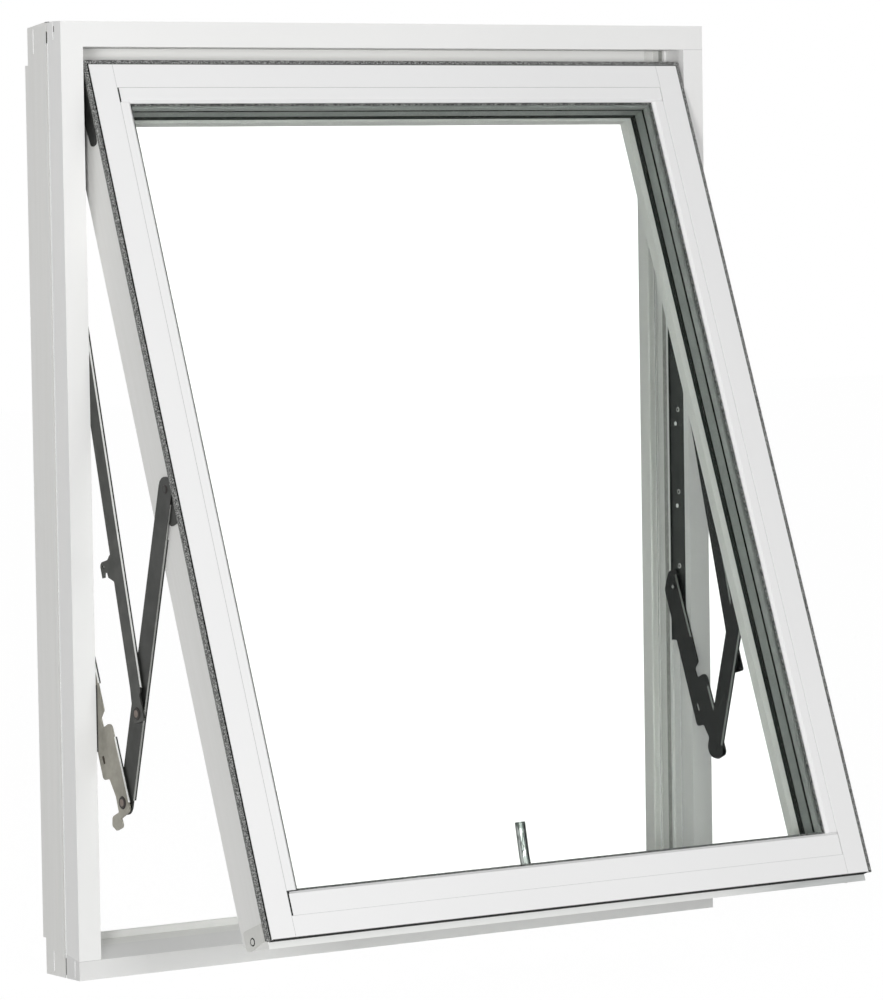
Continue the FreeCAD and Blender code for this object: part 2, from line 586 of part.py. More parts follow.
def jamb_track():
    """Shallow channel in the jamb's recess, open towards the sash, with the pins of two arms."""
    half = TRACK_WIDTH / 2 - LAYER_GAP
    foot = FRAME_HEIGHT - CHANNEL_END
    length = CHANNEL_END - FACE_WIDTH - CHANNEL_TOP_GAP
    solid = Part.makeBox(STEEL, 2 * half, length, Vector(track_inner, TRACK_CENTRE - half, foot))
    for across in (-half, half - CHANNEL_LIP):
        solid = solid.fuse(Part.makeBox(TRACK_RECESS - STEEL, CHANNEL_LIP, length,
                                        Vector(opening_half, TRACK_CENTRE + across, foot)))
    for pivot in (lower_pivot, upper_pivot):
        solid = solid.fuse([rod(PIN_RADIUS, pivot.y, pivot.z, arm_inner - PIN_END, track_outer),
                            rod(WASHER_RADIUS, pivot.y, pivot.z, arm_outer + LAYER_GAP, track_inner)])
    return solid


def slide_fitting():
    """Arm on the sash's top corner, with the pin of the slide shoe."""
    return plate(rounded(FITTING), sash_half, STEEL).fuse(
        rod(PIN_RADIUS, SHOE_BACK, -SHOE_DOWN, sash_half, track_inner - SHOE_BLIND))


def slide_shoe():
    """Block that runs in the jamb channel, on the pin of the sash's fitting."""
    centre = sash_point(SHOE_DOWN, SHOE_BACK)
    start = sash_half + STEEL + SHOE_GAP
    shoe = Part.makeBox(track_inner - start, SHOE_WIDTH, SHOE_LENGTH,
                        Vector(start, centre.y - SHOE_WIDTH / 2, centre.z - SHOE_LENGTH / 2))
    return drill(shoe, centre.y, centre.z, start, depth=track_inner - SHOE_BLIND - start)


def corner_bracket():
    """Plate on the side of the sash at its lower corner."""
    near, far = BRACKET_SIDES
    low = -SASH_HEIGHT
    high = low + BRACKET_RISE
    body = rounded([(near, low + 2.7, 2), (far - 8.5, low - 2.3, 3), (far, low + 0.3, 2), (far, high, 4),
                    (near, high, 4)])
    across, up, radius = BRACKET_HOLE
    return drill(plate(body, sash_half, BRACKET_STEEL), across, low + up, sash_half, radius, BRACKET_STEEL)


# Handle on the inside of the bottom rail
handle_height = HANDLE_UP - SASH_HEIGHT


def handle_base():
    width, thickness, height = ROSE
    rose = Part.makeBox(width, thickness, height,
                        Vector(-width / 2, SASH_DEPTH, handle_height - height / 2))
    rose = rose.makeFillet(ROSE_CORNER, [edge for edge in rose.Edges
                                         if abs(edge.tangentAt(edge.FirstParameter).y) > 0.9])
    return rose.fuse(Part.makeCylinder(NECK_RADIUS, HANDLE_BACK - HUB_DEPTH / 2 - SASH_DEPTH - thickness,
                                       Vector(0, SASH_DEPTH + thickness, handle_height), Vector(0, 1, 0)))


def handle_lever():
    """Round bar that rises from a hub, then leans in towards the sash."""
    start = Vector(0, HANDLE_BACK, handle_height)
    bend = start + Vector(0, 0, HANDLE_STRAIGHT)
    centre = bend - Vector(0, HANDLE_BEND, 0)
    section = Part.Face(Part.Wire([Part.Circle(bend, Vector(0, 0, 1), HANDLE_ROD).toShape()]))
    bow = section.revolve(centre, Vector(1, 0, 0), HANDLE_LEAN)
    tip = Part.makeCylinder(HANDLE_ROD, HANDLE_TIP, bend)
    tip.rotate(centre, Vector(1, 0, 0), HANDLE_LEAN)
    hub = Part.makeCylinder(HUB_RADIUS, HUB_DEPTH, start - Vector(0, HUB_DEPTH / 2, 0), Vector(0, 1, 0))
    return Part.makeCylinder(HANDLE_ROD, HANDLE_STRAIGHT, start).fuse([bow, tip, hub])


for side, turn, end, catch in (("right", lambda shape: shape, LINK_EYE, False),
                               ("left", mirrored, LINK_TAIL, True)):
    keep(side + "_lower_link", turn(lay(lower_link(end), knee, lower_pivot)))
    keep(side + "_main_arm", turn(lay(main_arm(), knee, sash_pivot)))
    keep(side + "_guide_arm", turn(lay(guide_arm(catch), guide_pivot, upper_pivot)))
    keep(side + "_sash_plate", turn(hang(sash_plate())))
    keep(side + "_jamb_track", turn(jamb_track()))
    keep(side + "_slide_fitting", turn(hang(slide_fitting())))
    keep(side + "_slide_shoe", turn(slide_shoe()))
    keep(side + "_corner_bracket", turn(hang(corner_bracket())))
keep("handle_base", hang(handle_base()))
keep("handle_lever", hang(handle_lever()))

os.makedirs("parts", exist_ok=True)
for name, shape in NODES.items():
    placed = shape.copy()
    placed.translate(Vector(0, -ORIGIN_DEPTH, 0))
    placed.exportStep("parts/" + name + ".step")
    box = placed.BoundBox
    print(name, placed.isValid(), len(placed.Solids), round(placed.Volume / 1000.0, 1),
          [round(v, 1) for v in (box.XMin, box.XMax, box.YMin, box.YMax, box.ZMin, box.ZMax)])
print("pivots", [tuple(round(c, 1) for c in p)
                 for p in (lower_pivot, knee, guide_pivot, sash_pivot, upper_pivot)])
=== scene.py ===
import math

import bpy
from mathutils import Matrix, Vector


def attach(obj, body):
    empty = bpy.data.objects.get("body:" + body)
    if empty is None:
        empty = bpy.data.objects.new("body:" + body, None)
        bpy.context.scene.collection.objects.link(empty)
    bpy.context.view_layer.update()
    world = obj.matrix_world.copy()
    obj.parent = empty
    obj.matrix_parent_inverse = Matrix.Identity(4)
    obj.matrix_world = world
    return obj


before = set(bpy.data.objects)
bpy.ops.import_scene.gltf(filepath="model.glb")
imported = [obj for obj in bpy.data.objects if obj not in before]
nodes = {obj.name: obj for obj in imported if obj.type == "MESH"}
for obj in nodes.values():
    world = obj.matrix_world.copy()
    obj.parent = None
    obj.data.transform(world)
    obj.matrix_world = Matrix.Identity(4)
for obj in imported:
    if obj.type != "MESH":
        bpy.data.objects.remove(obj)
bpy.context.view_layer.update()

# Timber of frame and sash. Head, sill, jambs, rails and stiles are planed pine, finger jointed and
# coated in the factory with a light grey opaque paint. The coat is sprayed, so it hides the grain,
# but long shallow marks of the planer follow each piece and the paint pools a little darker there.
TIMBER_PAINT = "E9E9E7"
TIMBER_SHADE = "E3E3E0"
PLANER_PITCH = 0.006          # across the grain
GRAIN_STRETCH = 0.03          # how much slower the marks change along the grain
SPRAY_SPECKS = 900.0          # in a metre
PAINT_POOLS = 5.0             # in a metre
POOL_SHARE = 0.5              # how far a pool tints the coat
SPRAY_SHARE = 0.1             # how far the specks lift it, against the planer's marks
SASH_LEAN = math.radians(20.5)


def linear(code):
    """Linear colour of an sRGB hex value."""
    parts = [int(code[i:i + 2], 16) / 255 for i in (0, 2, 4)]
    parts = [c / 12.92 if c <= 0.04045 else ((c + 0.055) / 1.055) ** 2.4 for c in parts]
    return (*parts, 1.0)


def add(tree, kind, settings=None, links=None):
    """A new node, with its input values or properties, and its links from other sockets."""
    made = tree.nodes.new(kind)
    for key, value in (settings or {}).items():
        if isinstance(key, int) or key in made.inputs:
            made.inputs[key].default_value = value
        else:
            setattr(made, key, value)
    for key, socket in (links or {}).items():
        tree.links.new(socket, made.inputs[key])
    return made


def start_finish(name):
    """An empty material with its shader and its object coordinates."""
    material = bpy.data.materials.new(name)
    material.use_nodes = True
    tree = material.node_tree
    tree.nodes.clear()
    shader = add(tree, "ShaderNodeBsdfPrincipled")
    add(tree, "ShaderNodeOutputMaterial", links={"Surface": shader.outputs["BSDF"]})
    place = add(tree, "ShaderNodeTexCoord").outputs["Object"]
    return material, tree, shader, place


def painted_timber(name, scale, lean):
    """Sprayed paint over planer marks that follow the piece."""
    material, tree, shader, place = start_finish(name)
    turned = add(tree, "ShaderNodeMapping", {"Rotation": (lean, 0, 0)}, {"Vector": place})
    stretched = add(tree, "ShaderNodeMapping", {"Scale": scale}, {"Vector": turned.outputs[0]})
    marks = add(tree, "ShaderNodeTexNoise", {"Scale": 1 / PLANER_PITCH, "Detail": 3.0},
                {"Vector": stretched.outputs[0]})
    spray = add(tree, "ShaderNodeTexNoise", {"Scale": SPRAY_SPECKS, "Detail": 2.0},
                {"Vector": place})
    pools = add(tree, "ShaderNodeTexNoise", {"Scale": PAINT_POOLS, "Detail": 2.0},
                {"Vector": place})
    shade = add(tree, "ShaderNodeMapRange",
                {"From Min": 0.35, "From Max": 0.75, "To Min": 0.0, "To Max": 0.55},
                {"Value": marks.outputs["Fac"]})
    both = add(tree, "ShaderNodeMath", {"operation": "MULTIPLY_ADD", 1: POOL_SHARE},
               {0: pools.outputs["Fac"], 2: shade.outputs[0]})
    colour = add(tree, "ShaderNodeMix", {"data_type": "RGBA", 6: linear(TIMBER_PAINT),
                                         7: linear(TIMBER_SHADE)}, {0: both.outputs[0]})
    height = add(tree, "ShaderNodeMath", {"operation": "MULTIPLY_ADD", 1: SPRAY_SHARE},
                 {0: spray.outputs["Fac"], 2: marks.outputs["Fac"]})
    relief = add(tree, "ShaderNodeBump", {"Strength": 0.06, "Distance": 0.0004},
                 {"Height": height.outputs[0]})
    shader.inputs["Roughness"].default_value = 0.42
    tree.links.new(colour.outputs[2], shader.inputs["Base Color"])
    tree.links.new(relief.outputs[0], shader.inputs["Normal"])
    return material


def paint(material, *names):
    """Give nodes of the frame a finish."""
    for name in names:
        for slot in nodes[name].material_slots:
            slot.material = material


def repaint(name, material, chosen):
    """Another finish on the faces of a node that the test picks out."""
    mesh = nodes[name].data
    mesh.materials.append(material)
    for face in mesh.polygons:
        if chosen(face):
            face.material_index = len(mesh.materials) - 1


ALONG_HEIGHT = (1, 1, GRAIN_STRETCH)
ALONG_WIDTH = (GRAIN_STRETCH, 1, 1)
paint(painted_timber("painted_pine_jamb", ALONG_HEIGHT, 0),
      "frame_left_jamb_timber", "frame_right_jamb_timber")
paint(painted_timber("painted_pine_rail", ALONG_WIDTH, 0),
      "frame_head_timber", "frame_sill_timber")
paint(painted_timber("painted_pine_stile", ALONG_HEIGHT, SASH_LEAN),
      "sash_left_stile", "sash_right_stile")
paint(painted_timber("painted_pine_sash_rail", ALONG_WIDTH, SASH_LEAN),
      "sash_top_rail", "sash_bottom_rail")

# Aluminium faces of frame and sash, and the glazing beads. Extruded profiles, powder coated in the
# same light grey as the timber and clipped on. The powder melts to a satin skin with a very fine
# orange peel, so the profiles look a touch cooler and smoother than the wood.
POWDER_FRAME = "ECECEB"
POWDER_SASH = "EEEEEE"
POWDER_SILL = "DFDFDE"
REBATE_PAINTED_LIGHT = "FAFAF8"       # painted light: a paler coat on the head's rebate, which the lamps leave in shade
REBATE_BACK = 0.009
REBATE_TOP = 1.149
PEEL_PITCH = 0.0012
SIDES = ("left", "right")
ALL_ROUND = SIDES + ("top", "bottom")


def powder_coat(name, code):
    """Satin powder coat with a fine orange peel and a faint cloud in its tone."""
    material, tree, shader, place = start_finish(name)
    peel = add(tree, "ShaderNodeTexNoise", {"Scale": 1 / PEEL_PITCH, "Detail": 1.0},
               {"Vector": place})
    cloud = add(tree, "ShaderNodeTexNoise", {"Scale": 3.0, "Detail": 1.0}, {"Vector": place})
    tone = add(tree, "ShaderNodeMapRange", {"To Min": 0.97, "To Max": 1.02},
               {"Value": cloud.outputs["Fac"]})
    colour = add(tree, "ShaderNodeHueSaturation", {"Color": linear(code)},
                 {"Value": tone.outputs[0]})
    relief = add(tree, "ShaderNodeBump", {"Strength": 0.05, "Distance": 0.0001},
                 {"Height": peel.outputs["Fac"]})
    shader.inputs["Roughness"].default_value = 0.36
    tree.links.new(colour.outputs[0], shader.inputs["Base Color"])
    tree.links.new(relief.outputs[0], shader.inputs["Normal"])
    return material


frame_powder = powder_coat("powder_coated_aluminium_frame", POWDER_FRAME)
sash_powder = powder_coat("powder_coated_aluminium_sash", POWDER_SASH)
paint(powder_coat("powder_coated_aluminium_sill", POWDER_SILL), "frame_sill_cladding")
# The head's rebate gets a paler coat: painted light where the lamps leave it in shade.
repaint("frame_head_timber", powder_coat("rebate_painted_light", REBATE_PAINTED_LIGHT),
        lambda face: face.center.y < REBATE_BACK and face.center.z < REBATE_TOP)
paint(frame_powder, "frame_head_cladding",
      *["frame_" + side + "_jamb_cladding" for side in SIDES])
paint(sash_powder, *["sash_" + side + "_cladding" for side in ALL_ROUND],
      *["glazing_bead_" + side for side in ALL_ROUND])

# Rubber strips: the bead in the frame's reveal, the gasket under the glazing beads and the foam
# seal on the sash. The seal is foam in a thin skin, so it is grey and mottled where the skin
# creases and catches the light, and the gasket is plain black rubber with a dusty bloom.


def rubber(name, dark, pale, pitch, low, high, rough, gloss=0.5):
    """Rubber that turns from dark to pale where its mottle goes from low to high."""
    material, tree, shader, place = start_finish(name)
    mottle = add(tree, "ShaderNodeTexNoise", {"Scale": 1 / pitch, "Detail": 4.0, "Roughness": 0.65},
                 {"Vector": place})
    share = add(tree, "ShaderNodeMapRange", {"From Min": low, "From Max": high},
                {"Value": mottle.outputs["Fac"]})
    colour = add(tree, "ShaderNodeMix", {"data_type": "RGBA", 6: linear(dark), 7: linear(pale)},
                 {0: share.outputs[0]})
    relief = add(tree, "ShaderNodeBump", {"Strength": 0.4, "Distance": 0.0004},
                 {"Height": mottle.outputs["Fac"]})
    shader.inputs["Roughness"].default_value = rough
    shader.inputs["Specular IOR Level"].default_value = gloss
    tree.links.new(colour.outputs[2], shader.inputs["Base Color"])
    tree.links.new(relief.outputs[0], shader.inputs["Normal"])
    return material


# Black rubber, used also for the black strips that paint shade in gaps and shadow lines.
tape_and_shade_black = rubber("black_rubber_and_painted_shade", "060706", "121312",
              pitch=0.004, low=0.3, high=0.8, rough=0.7, gloss=0.15)
paint(rubber("epdm_rubber_reveal", "9A9B98", "B4B5B1",
             pitch=0.004, low=0.4, high=0.65, rough=0.7), "frame_gasket")
paint(rubber("foam_seal_skin", "3A3B3A", "B4B5B3",
             pitch=0.0017, low=0.44, high=0.66, rough=0.6), "sash_seal")
paint(rubber("epdm_rubber_glazing", "232624", "8A8D8A",
             pitch=0.003, low=0.42, high=0.66, rough=0.6), "glazing_gasket")

# Triple glazing. Three panes of 4 mm float glass on grey composite spacers, bedded in black butyl,
# which gives the dark lines beside the inner spacer when it is seen at a slant. Float glass has a
# slight green body tint, which builds up over three panes.
GLASS_TINT = "F0F1F0"
GLASS_IOR = 1.05              # coated panes mirror and bend far less than bare glass of 1.5
SPACER_GREY = "707572"
SPACER_PALE = "808581"
SASH_TOP = Vector((0, -0.05566, 1.1274))        # top edge of the sash's outer face
INWARDS = Vector((0, math.cos(SASH_LEAN), -math.sin(SASH_LEAN)))
MID_GLASS = INWARDS.dot(SASH_TOP) + 0.026       # half way through the glass unit
ALONG = 0.9                   # cosine from which a face counts as square to a direction


def float_glass(name):
    """Tinted float glass, plainly transparent to the rays that make shadows."""
    material, tree, shader, place = start_finish(name)
    for key, value in {"Base Color": linear(GLASS_TINT), "Transmission Weight": 1.0,
                       "Roughness": 0.0, "IOR": GLASS_IOR}.items():
        shader.inputs[key].default_value = value
    clear = add(tree, "ShaderNodeBsdfTransparent", {"Color": linear(GLASS_TINT)})
    path = add(tree, "ShaderNodeLightPath")
    both = add(tree, "ShaderNodeMixShader", links={0: path.outputs["Is Shadow Ray"],
                                                   1: shader.outputs["BSDF"],
                                                   2: clear.outputs["BSDF"]})
    tree.links.new(both.outputs[0], tree.nodes["Material Output"].inputs["Surface"])
    return material


paint(float_glass("float_glass"), "glass_pane_outer", "glass_pane_middle", "glass_pane_inner")
paint(rubber("composite_spacer", SPACER_GREY, SPACER_PALE,
             pitch=0.02, low=0.3, high=0.8, rough=0.6), "glass_spacer_outer", "glass_spacer_inner")
butyl = rubber("black_butyl", "030403", "080908",
               pitch=0.004, low=0.3, high=0.8, rough=0.5, gloss=0.1)
repaint("glass_spacer_inner", butyl, lambda face: abs(face.normal.dot(INWARDS)) > ALONG)
inner_gasket = rubber("black_rubber_inner", "1F2321", "303532",
                      pitch=0.004, low=0.3, high=0.8, rough=0.6, gloss=0.2)
repaint("glazing_gasket", inner_gasket, lambda face: face.center.dot(INWARDS) > MID_GLASS)

# Linkage. Arms, links and channels are pressed strip steel, zinc plated and passivated: dark grey
# with a soft sheen and painted highlights along the edges. The lower links kept a warmer, thicker
# film, the right linkage is painted darker as painted shade, and rivets and pins are turned steel
# of a browner tone.
ROLLED_LINES = 700.0          # fine lines of the roller, in a metre
LINE_STRETCH = 0.06
SHEEN_SPREAD = 0.08           # how far the roughness strays to either side


def plated_steel(name, dark, pale, metal, rough, pitch=0.022):
    """Plated strip steel, clouded by its film and lined by the roller."""
    material, tree, shader, place = start_finish(name)
    cloud = add(tree, "ShaderNodeTexNoise", {"Scale": 1 / pitch, "Detail": 5.0, "Roughness": 0.6},
                {"Vector": place})
    drawn = add(tree, "ShaderNodeMapping", {"Scale": (1, 1, LINE_STRETCH)}, {"Vector": place})
    lines = add(tree, "ShaderNodeTexNoise", {"Scale": ROLLED_LINES, "Detail": 2.0},
                {"Vector": drawn.outputs[0]})
    share = add(tree, "ShaderNodeMapRange", {"From Min": 0.35, "From Max": 0.7},
                {"Value": cloud.outputs["Fac"]})
    colour = add(tree, "ShaderNodeMix", {"data_type": "RGBA", 6: linear(dark), 7: linear(pale)},
                 {0: share.outputs[0]})
    sheen = add(tree, "ShaderNodeMapRange",
                {"To Min": rough - SHEEN_SPREAD, "To Max": rough + SHEEN_SPREAD},
                {"Value": cloud.outputs["Fac"]})
    relief = add(tree, "ShaderNodeBump", {"Strength": 0.06, "Distance": 0.0002},
                 {"Height": lines.outputs["Fac"]})
    shader.inputs["Metallic"].default_value = metal
    tree.links.new(colour.outputs[2], shader.inputs["Base Color"])
    tree.links.new(sheen.outputs[0], shader.inputs["Roughness"])
    tree.links.new(relief.outputs[0], shader.inputs["Normal"])
    return material


link_steel = plated_steel("passivated_steel_lower_link", "7C7A71", "B2AFA5",
                          metal=0.75, rough=0.42, pitch=0.06)
arm_steel = plated_steel("passivated_steel_main_arm", "3A3B39", "4A4B49", metal=0.8, rough=0.42)
guide_steel = plated_steel("passivated_steel_guide_arm", "434442", "545552", metal=0.8, rough=0.4)
# The right linkage and the inner faces of rivets are painted much darker: painted shade.
shaded_inner_steel = plated_steel("passivated_steel_painted_shade", "141716", "1F2321", metal=0.5, rough=0.5)
channel_steel = plated_steel("passivated_steel_channel", "2C302E", "444845", metal=0.7, rough=0.45)
black_steel = plated_steel("black_coated_steel", "2C2D2C", "3A3B3A", metal=0.2, rough=0.4)
bracket_coat = plated_steel("grey_coated_steel", "D2D2CE", "DADAD6", metal=0.0, rough=0.4)
paint(link_steel, "left_lower_link")
paint(arm_steel, "left_main_arm", "left_sash_plate")
paint(guide_steel, "left_guide_arm")
paint(shaded_inner_steel, "right_lower_link", "right_main_arm", "right_guide_arm", "right_sash_plate")
for side in SIDES:
    paint(channel_steel, side + "_jamb_track")
    paint(black_steel, side + "_slide_fitting", side + "_slide_shoe")
    paint(bracket_coat, side + "_corner_bracket")

# Edges of the arms. The strip is slit from coil and then bent. Strips along the bends paint the
# light
# on them: on the left a painted highlight on the bend and painted shade at the tip, on the right a
# dull painted highlight. The link's slot has a brown back, and a thin painted shadow lies where the
# link meets the jamb.
MM = 0.001
HALF_SASH = 0.44875
ARM_INNER = 0.45625           # inner side of the guide arm and the lower link
ARM_OUTER = 0.45845
MAIN_INNER = 0.45125
MAIN_OUTER = 0.45345
BEND = 0.0024                 # the bent edges reach this far in from the plates
LOWER_PIVOT, KNEE, GUIDE_PIVOT, SASH_PIVOT, UPPER_PIVOT = (
    Vector((0, y, z)) * MM for y, z in ((-25.0, 432.0), (-119.0, 224.4), (-157.5, 336.8),
                                        (-225.8, 612.6), (-32.7, 813.8)))
CORNER = 0.0043               # from the tip of the bent edge to its corner
TIP_WIDTH = 0.0020            # the dark part, next to the tip
EDGE_PROUD = 0.00012          # how far a strip stands off the steel
PROUD = (-EDGE_PROUD, 0.0010)                   # front and back of a strip
ON_BEND = (TIP_WIDTH, CORNER)
ON_TIP = (-EDGE_PROUD / 2, TIP_WIDTH)
# foot, head, both ends of the edge from the foot as (across, up), and the inner side of the plate
EDGES = ((GUIDE_PIVOT, UPPER_PIVOT, (-16.2, 30.0), (-16.2, 499.0), ARM_INNER),
         (KNEE, SASH_PIVOT, (-15.2, 8.0), (-15.2, 342.6), MAIN_INNER),
         (KNEE, LOWER_PIVOT, (-9.0, 153.0), (-13.9, 240.0), ARM_INNER),
         (KNEE, LOWER_PIVOT, (-12.95, -4.0), (-16.25, 80.0), ARM_INNER))
MAIN_TOP = (KNEE, SASH_PIVOT, (-15.2, 342.6), (-15.2, 388.0), MAIN_INNER)
SLOT = (KNEE, LOWER_PIVOT, (16.6, 57.0), (16.6, 68.0), ARM_INNER)
SLOT_WIDTH = 0.0058
SLOT_BACK = (BEND - 0.0004, BEND)
JAMB_SHADOW = ((-ARM_OUTER - 0.00005, -0.0630, 0.282), (-ARM_OUTER, -0.0590, 0.365))


def as_piece(name, points, faces, material):
    """A new mesh piece of the window, with its finish."""
    mesh = bpy.data.meshes.new(name)
    mesh.from_pydata(points, [], faces)
    mesh.materials.append(material)
    piece = bpy.data.objects.new(name, mesh)
    bpy.context.scene.collection.objects.link(piece)
    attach(piece, "root")
    return piece


BOX_FACES = ((0, 1, 3, 2), (4, 6, 7, 5), (0, 4, 5, 1), (2, 3, 7, 6), (0, 2, 6, 4), (1, 5, 7, 3))


def boxes(name, corners, material, place=Matrix.Identity(4)):
    """One piece made of boxes, each from its lowest and highest corner, turned into place."""
    points = []
    faces = []
    for box in corners:
        faces += [tuple(len(points) + i for i in face) for face in BOX_FACES]
        xs, ys, zs = zip(*box)
        points += [place @ Vector((x, y, z)) for x in xs for y in ys for z in zs]
    return as_piece(name, points, faces, material)


def edge_strips(name, side_sign, rows, reach, shifts, material):
    """Strips along the arms: reach is how far they go in X from the tip of the bent edge."""
    points = []
    faces = []
    for foot, head, start, end, inner in rows:
        along = (head - foot).normalized()
        back = Vector((0, along.z, -along.y))
        ends = [foot + back * (u * MM) + along * (v * MM) for u, v in (start, end)]
        faces += [tuple(len(points) + i for i in face) for face in BOX_FACES]
        points += [Vector((side_sign * (inner - BEND + x), 0, 0)) + place + back * shift
                   for x in reach for shift in shifts for place in ends]
    as_piece(name, points, faces, material)


# Painted highlights and painted shade, laid as thin strips along the bent edges.
bend_highlight_paint = plated_steel("left_bend_painted_highlight", "E0E1DE", "EFF0EE", metal=0.1, rough=0.35)
dull_highlight_paint = plated_steel("main_arm_painted_highlight", "8F908D", "A5A6A3", metal=0.2, rough=0.4)
dim_highlight_paint = plated_steel("right_edge_painted_highlight", "8A8F8B", "A3A8A4", metal=0.2, rough=0.4)
tip_shade_paint = plated_steel("bend_tip_painted_shade", "262725", "383937", metal=0.3, rough=0.45)
slot_back = plated_steel("dark_slot_back", "5A524A", "6F665C", metal=0.2, rough=0.5)
jamb_shadow_paint = plated_steel("link_painted_shadow", "1E1D1B", "2A2926", metal=0.1, rough=0.5)
guide_edge, main_edge, *link_edges = EDGES
edge_strips("left_bend_highlights", -1, [guide_edge] + link_edges, ON_BEND, PROUD, bend_highlight_paint)
edge_strips("left_dull_edge", -1, [main_edge], ON_BEND, PROUD, dull_highlight_paint)
edge_strips("left_dull_edge_top", -1, [MAIN_TOP], (BEND, CORNER), PROUD, dull_highlight_paint)
edge_strips("left_tip_shades", -1, EDGES, ON_TIP, PROUD, tip_shade_paint)
edge_strips("right_dim_highlights", 1, EDGES, ON_TIP, PROUD, dim_highlight_paint)
edge_strips("link_slot_back", -1, [SLOT], SLOT_BACK, (0, SLOT_WIDTH), slot_back)
# A dark strip on the link: painted shadow where the link meets the jamb.
boxes("link_jamb_shadow", [JAMB_SHADOW], jamb_shadow_paint)

# Rivet heads. Each pivot is a turned steel pin, riveted over a flat head, with a paler dimple where
# the tool pressed. The channels are held by bright rivets and have bright rims round their open
# holes, and a countersunk screw holds each bracket at the sash's lower corner, in a black ring of
# painted shade for its hole.
HEAD_SIDES = 28
RIM_TAPER = 0.86              # the top of a head against its foot
DIMPLE_PROUD = 1.15           # the dimple's height against the head's
TRACK_FACE = 0.4601           # the channel's open side
BRACKET_FACE = 0.45035
CHANNEL_RIVETS = [Vector((0, y * MM, z * MM)) for y, z in ((-35, 670), (-35, 560), (-34.4, 460.5))]
CHANNEL_HOLES = [Vector((0, y * MM, z * MM)) for y, z in ((-29.4, 651), (-31, 541))]
BRACKET_SCREW = Vector((0, -0.4020, 0.0845))
rivet_ring = plated_steel("turned_steel_rivet", "1F1C1A", "332E2B", metal=0.4, rough=0.45)
rivet_core = plated_steel("turned_steel_dimple", "6E625B", "8C817A", metal=0.7, rough=0.4)
screw_steel = plated_steel("bright_screw_steel", "A6A9A6", "C6C8C5", metal=0.8, rough=0.35)
pressed_dark = plated_steel("screw_recess", "1B1C1B", "2A2B2A", metal=0.3, rough=0.5)


def rivet_tree():
    """Flat round heads with a dimple, one at each point, that face along X."""
    made = bpy.data.node_groups.new("rivet_heads", "GeometryNodeTree")
    made.interface.new_socket(name="Geometry", in_out="OUTPUT", socket_type="NodeSocketGeometry")
    inputs = {}
    for key, kind in (("Points", "Geometry"), ("Radius", "Float"), ("Height", "Float"),
                      ("Dimple", "Float"), ("Turn", "Float"), ("Ring", "Material"),
                      ("Core", "Material")):
        item = made.interface.new_socket(name=key, in_out="INPUT", socket_type="NodeSocket" + kind)
        inputs[key] = item.identifier
    given = add(made, "NodeGroupInput").outputs
    rim = add(made, "ShaderNodeMath", {"operation": "MULTIPLY", 1: RIM_TAPER}, {0: given["Radius"]})
    head = add(made, "GeometryNodeMeshCone", {"Vertices": HEAD_SIDES},
               {"Radius Top": rim.outputs[0], "Radius Bottom": given["Radius"],
                "Depth": given["Height"]})
    ring = add(made, "GeometryNodeSetMaterial", links={"Geometry": head.outputs["Mesh"],
                                                       "Material": given["Ring"]})
    core_height = add(made, "ShaderNodeMath", {"operation": "MULTIPLY", 1: DIMPLE_PROUD},
                      {0: given["Height"]})
    dimple = add(made, "GeometryNodeMeshCone", {"Vertices": HEAD_SIDES},
                 {"Radius Top": given["Dimple"], "Radius Bottom": given["Dimple"],
                  "Depth": core_height.outputs[0]})
    core = add(made, "GeometryNodeSetMaterial", links={"Geometry": dimple.outputs["Mesh"],
                                                       "Material": given["Core"]})
    both = add(made, "GeometryNodeJoinGeometry")
    for part in (core, ring):
        made.links.new(part.outputs["Geometry"], both.inputs["Geometry"])
    facing = add(made, "ShaderNodeCombineXYZ", links={"Y": given["Turn"]})
    turned = add(made, "GeometryNodeTransform", links={"Geometry": both.outputs[0],
                                                       "Rotation": facing.outputs[0]})
    copies = add(made, "GeometryNodeInstanceOnPoints", links={"Points": given["Points"],
                                                              "Instance": turned.outputs[0]})
    real = add(made, "GeometryNodeRealizeInstances", links={"Geometry": copies.outputs[0]})
    add(made, "NodeGroupOutput", links={"Geometry": real.outputs[0]})
    return made, inputs


RIVETS = rivet_tree()


def heads(name, side_sign, distance, points, outwards, sizes, ring, core, slot):
    """Heads at the points of one side, facing away from the window's middle or towards it."""
    tree, inputs = RIVETS
    spots = [Vector((side_sign * distance, point.y, point.z)) for point in points]
    piece = as_piece(name, spots, [], ring)
    modifier = piece.modifiers.new("heads", "NODES")
    modifier.node_group = tree
    radius, height, dimple = sizes
    for key, value in {"Radius": radius, "Height": height, "Dimple": dimple,
                       "Turn": side_sign * outwards * math.pi / 2,
                       "Ring": ring, "Core": core}.items():
        modifier[inputs[key]] = value
    evaluated = piece.evaluated_get(bpy.context.evaluated_depsgraph_get())
    made = bpy.data.meshes.new_from_object(evaluated)
    piece.modifiers.clear()
    piece.data = made


